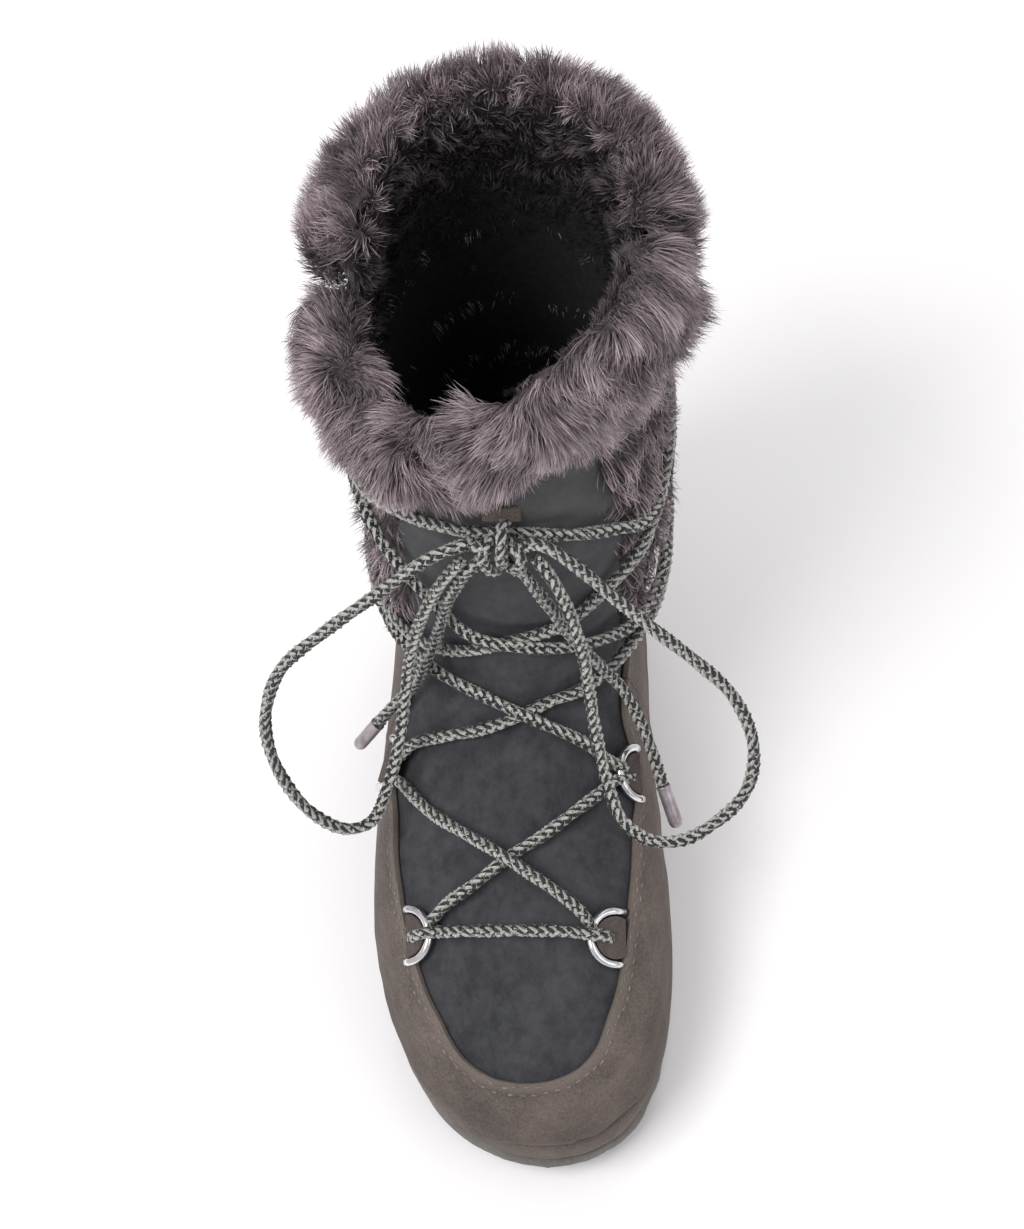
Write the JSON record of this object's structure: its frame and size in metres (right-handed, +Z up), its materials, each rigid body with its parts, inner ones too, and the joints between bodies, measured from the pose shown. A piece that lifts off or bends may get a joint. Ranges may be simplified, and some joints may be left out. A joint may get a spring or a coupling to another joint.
{
  "type": "snow boot",
  "caption": "Ankle-high snow boot for the right foot with a fur collar and folded fur cuff, suede overlays, half-ring lacing tied in a bow and a lugged rubber sole.",
  "frame": {"origin": "on the ground at the middle of the boot as it stands", "axes": "+Z up, -Y towards the toe, +X towards the medial (big toe) side of this right boot"},
  "size_m": [0.161, 0.2836, 0.2519],
  "materials": {
    "sole_rubber": "matt moulded grey rubber",
    "taupe_suede": "brushed taupe suede with a soft nap",
    "charcoal_nubuck": "fine charcoal nubuck",
    "fur": "deep taupe fur with paler tips",
    "pile_lining": "short dark pile",
    "ring_steel": "bright plated wire",
    "tab_leather": "smooth brown leather",
    "lace_rope": "braided rope in black and off-white",
    "lace_tip": "grey sleeve"
  },
  "bodies": {
    "root": {"outsole": "sole_rubber", "platform": "taupe_suede", "insole": "pile_lining", "upper": "charcoal_nubuck", "mudguard": "taupe_suede", "counter": "taupe_suede", "shaft_fur": "fur", "collar_fur": "fur", "cuff_fur": "fur", "lace_bar": "lace_rope", "lace_cross_low": "lace_rope", "lace_wraps": "lace_rope", "lace_keeper": "taupe_suede", "half_ring_low_lateral": "ring_steel", "tab_low_lateral": "tab_leather", "half_ring_low_medial": "ring_steel", "tab_low_medial": "tab_leather", "half_ring_high_lateral": "ring_steel", "tab_high_lateral": "tab_leather", "half_ring_high_medial": "ring_steel", "tab_high_medial": "tab_leather", "lace_knot": "lace_rope", "lace_loop_lateral": "lace_rope", "lace_loop_medial": "lace_rope", "lace_end_lateral": "lace_rope", "lace_end_medial": "lace_rope", "aglet_lateral": "lace_tip", "aglet_medial": "lace_tip"}
  },
  "joints": []
}
